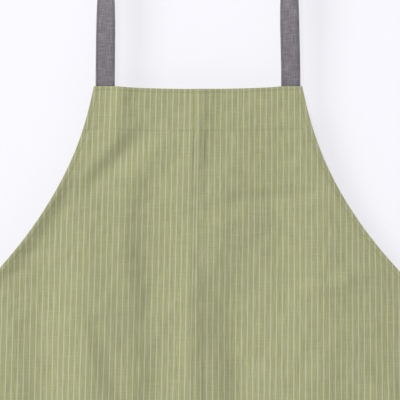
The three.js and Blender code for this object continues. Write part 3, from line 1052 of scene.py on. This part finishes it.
def striped_cotton():
    n = Nodes("green_striped_cotton")
    place, across, along = n.cloth_place()
    wander = n.math("MULTIPLY", n.math("SUBTRACT", n.noise(place, 1.0, 2, (14, 9, 1)), 0.5), 0.0016)
    cycles = n.math("DIVIDE", n.math("ADD", across, wander), STRIPE_PITCH)
    from_stripe = n.math("ABSOLUTE", n.math("SUBTRACT", n.math("FRACT", n.math("ADD", cycles, 0.5)), 0.5))
    from_stripe = n.math("MULTIPLY", from_stripe, STRIPE_PITCH)
    stripe = n.remap(from_stripe, 0.38 * MM, 0.85 * MM, 1.0, 0.0)
    slub = n.noise(place, 1.0, 3, (700, 26, 1))
    stripe = n.math("MULTIPLY", stripe, n.remap(slub, 0.2, 0.75, 0.74, 1.0))
    threads = n.noise(place, 1.0, 3, (1100, 34, 1))
    weft = n.noise(place, 1.0, 2, (30, 900, 1))
    patch_tone = n.noise(place, 1.0, 3, (16, 12, 1))
    green = n.mix(n.remap(threads, 0.3, 0.72), rgb(137, 140, 99), rgb(157, 159, 117))
    green = n.tint(green, weft, 0.4, 0.75, 0.34, rgb(169, 170, 129))
    green = n.tint(green, patch_tone, 0.3, 0.7, 0.08, rgb(140, 150, 113))
    colour = n.mix(stripe, green, rgb(178, 174, 158))
    height = n.weave(across, along, COTTON_PITCH, 0.5, threads)
    rough = n.remap(threads, 0.2, 0.8, 0.82, 0.95)
    return n.finish(
        colour, rough, height, 0.12 * MM,
        Sheen_Weight=0.12, Sheen_Roughness=0.5, Specular_IOR_Level=0.2)


def plain_cotton():
    n = Nodes("green_plain_cotton")
    place, across, along = n.cloth_place()
    threads = n.noise(place, 1.0, 3, (1000, 40, 1))
    weft = n.noise(place, 1.0, 2, (40, 900, 1))
    green = n.mix(n.remap(threads, 0.3, 0.72), rgb(140, 144, 103), rgb(160, 162, 121))
    green = n.tint(green, weft, 0.35, 0.8, 0.3, rgb(167, 168, 130))
    height = n.weave(across, along, COTTON_PITCH, 0.5, threads)
    rough = n.remap(threads, 0.2, 0.8, 0.82, 0.95)
    return n.finish(green, rough, height, 0.12 * MM, Sheen_Weight=0.12)


def chambray():
    """Dark warp and pale weft, so the cloth looks mottled from near and grey from afar."""
    n = Nodes("grey_chambray_tape")
    place, across, along = n.cloth_place()
    warp = n.noise(place, 1.0, 3, (900, 60, 1))
    weft = n.noise(place, 1.0, 3, (70, 800, 1))
    mottle = n.noise(place, 1.0, 3, (190, 130, 1))
    grey = n.mix(n.remap(warp, 0.3, 0.7), rgb(84, 80, 84), rgb(122, 118, 123))
    grey = n.tint(grey, weft, 0.4, 0.75, 0.4, rgb(160, 157, 162))
    grey = n.tint(grey, mottle, 0.35, 0.7, 0.45, rgb(104, 100, 108))
    # Painted shade: the grey is darkened along each row of stitches, where the stitches pull the tape in.
    from_edge = n.math("SUBTRACT", STRAP_WIDTH / 2, n.math("ABSOLUTE", across))
    from_row = n.math("ABSOLUTE", n.math("SUBTRACT", from_edge, TAPE_EDGE_ROW))
    painted_row_shade = n.remap(from_row, 0.3 * MM, 1.3 * MM, 0.5, 0.0)
    grey = n.mix(painted_row_shade, grey, rgb(84, 80, 87))
    height = n.weave(across, along, 0.9 * MM, 0.6, warp)
    return n.finish(grey, n.remap(warp, 0.2, 0.8, 0.8, 0.95), height, 0.14 * MM, Sheen_Weight=0.1)


def thread(name, dark, pale):
    n = Nodes(name)
    place = n.object_place()
    fibre = n.noise(place, 900.0, 2)
    colour = n.mix(n.remap(fibre, 0.3, 0.7), dark, pale)
    return n.finish(colour, 0.7, fibre, 0.05 * MM, Sheen_Weight=0.2)


def oiled_oak():
    n = Nodes("oiled_oak")
    place = n.object_place()
    warp = n.noise(place, 1.0, 3, (5, 20, 26))
    bend = n.add("ShaderNodeVectorMath", {0: warp, 1: (0.0, 0.012, 0.03)}, operation="MULTIPLY")
    bent = n.add("ShaderNodeVectorMath", {0: place, 1: bend}, operation="ADD")
    rings = n.noise(bent, 1.0, 3, (2.2, 60, 95))
    fibre = n.noise(place, 1.0, 4, (26, 700, 900))
    pores = n.noise(place, 1.0, 2, (60, 1500, 1900))
    pore = n.remap(pores, 0.6, 0.72)
    wood = n.mix(n.remap(rings, 0.3, 0.7), rgb(206, 170, 124), rgb(178, 136, 90))
    wood = n.tint(wood, fibre, 0.35, 0.7, 0.4, rgb(160, 118, 74))
    wood = n.mix(n.math("MULTIPLY", pore, 0.5), wood, rgb(112, 78, 46))
    height = n.math("SUBTRACT", n.math("MULTIPLY", fibre, 0.5), pore)
    return n.finish(wood, n.remap(fibre, 0.3, 0.7, 0.42, 0.6), height, 0.12 * MM, Coat_Weight=0.08)


def satin_steel(name, tone, roughness, stretch):
    n = Nodes(name)
    place = n.object_place()
    lines = n.noise(place, 1.0, 3, stretch)
    smudge = n.noise(place, 60.0, 3)
    colour = n.mix(n.remap(lines, 0.3, 0.7), tone, tuple(c * 0.86 for c in tone[:3]) + (1.0,))
    brushed = n.remap(lines, 0.3, 0.7, roughness, roughness + 0.08)
    rough = n.math("ADD", brushed, n.math("MULTIPLY", smudge, 0.1))
    return n.finish(colour, rough, lines, 0.02 * MM, Metallic=1.0)


def stage_paint(name, tone, glow, see_through_back):
    """White paint with a little light of its own, as a lit studio backdrop has."""
    n = Nodes(name)
    place = n.object_place()
    stipple = n.noise(place, 140.0, 3)
    colour = n.mix(stipple, tone, tuple(c * 0.985 for c in tone[:3]) + (1.0,))
    material = n.finish(
        colour, 0.95, stipple, 0.05 * MM,
        Specular_IOR_Level=0.0, Emission_Color=(0.984, 0.974, 1.02, 1.0), Emission_Strength=glow)
    if see_through_back:
        facing = n.add("ShaderNodeNewGeometry", output=6)
        clear = n.add("ShaderNodeBsdfTransparent")
        both = n.add("ShaderNodeMixShader", {0: facing, 1: n.shader.outputs[0], 2: clear})
        n.put(n.tree.nodes["Material Output"].inputs[0], both)
    return material


# ---- The rail: CAD pieces with finished surfaces ----


def refine(node, material, bevel_width, segments=3):
    """Gives a CAD piece its material, soft edges and smooth shading."""
    piece = nodes[node]
    piece.data.materials.clear()
    piece.data.materials.append(material)
    piece.data.polygons.foreach_set("use_smooth", [True] * len(piece.data.polygons))
    weld = piece.modifiers.new("join_corners", "WELD")
    weld.merge_threshold = 0.01 * MM
    flats = piece.modifiers.new("one_face_per_flat", "DECIMATE")
    flats.decimate_type = "DISSOLVE"
    flats.angle_limit = math.radians(0.5)
    bevel = piece.modifiers.new("soft_edges", "BEVEL")
    bevel.width = bevel_width
    bevel.segments = segments
    bevel.limit_method = "ANGLE"
    bevel.angle_limit = math.radians(32)
    bevel.harden_normals = True
    piece.modifiers.new("even_shading", "WEIGHTED_NORMAL").keep_sharp = True


def finish_rail():
    oak = oiled_oak()
    steel = satin_steel("satin_steel", rgb(196, 195, 192), 0.3, (900, 40, 900))
    plated = satin_steel("plated_steel", rgb(206, 206, 208), 0.28, (400, 400, 400))
    refine("rail_board", oak, 0.8 * MM)
    for name in SIDES:
        refine("hook_plate_" + name, steel, 0.25 * MM)
        refine("hook_" + name, steel, 0.3 * MM)
        refine("wall_screw_" + name, plated, 0.1 * MM, 2)
        for place in ("top", "bottom"):
            refine(f"plate_screw_{name}_{place}", plated, 0.08 * MM, 2)


# ---- Stage, lights and camera ----

VIEW_X = 2.6 * MM
VIEW_Z = TOP_Z - 148 * MM
VIEW_DISTANCE = 2.0
VIEW_WIDTH = 520 * MM
WALL_TOP = 2.5
WORLD_LIGHT = 0.34
WORLD_SEEN = 0.84  # the world looks paler to the camera than it lights


def plane(name, corners, material):
    piece = new_object(name, corners, [(0, 1, 2, 3)], material)


def make_stage():
    reach, floor_z, wall_y = 4.0, cad_low.z - 0.15, 0.4 * MM
    wall = stage_paint("wall_white", (0.25, 0.248, 0.262, 1.0), 0.67, True)
    floor = stage_paint("floor_white", (0.6, 0.6, 0.6, 1.0), 0.3, False)
    ends = (-reach, reach, reach, -reach)
    levels = (floor_z, floor_z, WALL_TOP, WALL_TOP)
    fronts = (-reach, -reach, reach, reach)
    plane("wall", [(x, wall_y, z) for x, z in zip(ends, levels)], wall)
    plane("floor", [(x, y, floor_z) for x, y in zip(ends, fronts)], floor)


def soft_box(name, place, aim, size, power):
    light = bpy.data.lights.new(name, "AREA")
    light.shape = "RECTANGLE"
    light.size = size
    light.size_y = size
    light.energy = power
    lamp = bpy.data.objects.new(name, light)
    lamp.location = place
    lamp.rotation_euler = (Vector(aim) - Vector(place)).to_track_quat("-Z", "Y").to_euler()
    bpy.context.scene.collection.objects.link(lamp)


def background(tree, colour, strength):
    node = tree.nodes.new("ShaderNodeBackground")
    node.inputs[0].default_value = colour
    node.inputs[1].default_value = strength
    return node.outputs[0]


def make_world():
    world = bpy.data.worlds.new("studio")
    world.use_nodes = True
    tree = world.node_tree
    tree.nodes.remove(tree.nodes["Background"])
    ray = tree.nodes.new("ShaderNodeLightPath")
    either = tree.nodes.new("ShaderNodeMixShader")
    tree.links.new(ray.outputs["Is Camera Ray"], either.inputs[0])
    tree.links.new(background(tree, (0.985, 0.985, 1.0, 1.0), WORLD_LIGHT), either.inputs[1])
    tree.links.new(background(tree, (0.97, 0.965, 1.0, 1.0), WORLD_SEEN), either.inputs[2])
    tree.links.new(either.outputs[0], tree.nodes["World Output"].inputs[0])
    bpy.context.scene.world = world


def light_scene():
    make_world()
    soft_box("key", (-5.0, -4.4, 3.9), (0, 0, -0.45), 2.9, 440)
    soft_box("fill", (-0.45, -3.2, 0.3), (0, 0, -0.4), 0.4, 30)
    view = bpy.context.scene.view_settings
    view.view_transform = "Standard"
    view.look = "None"


def place_camera():
    camera = bpy.data.cameras.new("camera")
    camera.sensor_width = 36
    camera.lens = camera.sensor_width * (VIEW_DISTANCE + PANEL_Y) / VIEW_WIDTH
    eye = bpy.data.objects.new("camera", camera)
    eye.location = (VIEW_X, -VIEW_DISTANCE, VIEW_Z)
    eye.rotation_euler = (math.pi / 2, 0, 0)
    bpy.context.scene.collection.objects.link(eye)
    bpy.context.scene.camera = eye


# ---- Assembly ----


def make_apron():
    stripe, plain = striped_cotton(), plain_cotton()
    green_thread = thread("green_thread", rgb(122, 127, 89), rgb(160, 162, 124))
    seams = stitches_on_apron("apron_topstitching", apron_stitch_rows(), green_thread, panel_front)
    for name, side in SIDES.items():
        panel = make_panel(name, side, stripe)
        edge = make_binding(name, side, plain)
        hem = make_side_hem(name, side, stripe)
        pocket = make_pocket(name, side, stripe)
        tacks = stitches_on_apron(
            "pocket_stitches_" + name, pocket_stitch_rows(name), green_thread, pocket_front(name))
    facing = make_facing(plain)
    hem = make_bottom_hem(stripe)


def make_tapes():
    cloth = chambray()
    grey_thread = thread("grey_thread", rgb(76, 73, 80), rgb(112, 108, 116))
    make_strap(cloth, grey_thread)
    for name, side in SIDES.items():
        make_tie(name, side, cloth, grey_thread)


place_camera()
light_scene()
make_stage()
finish_rail()
make_apron()
make_tapes()
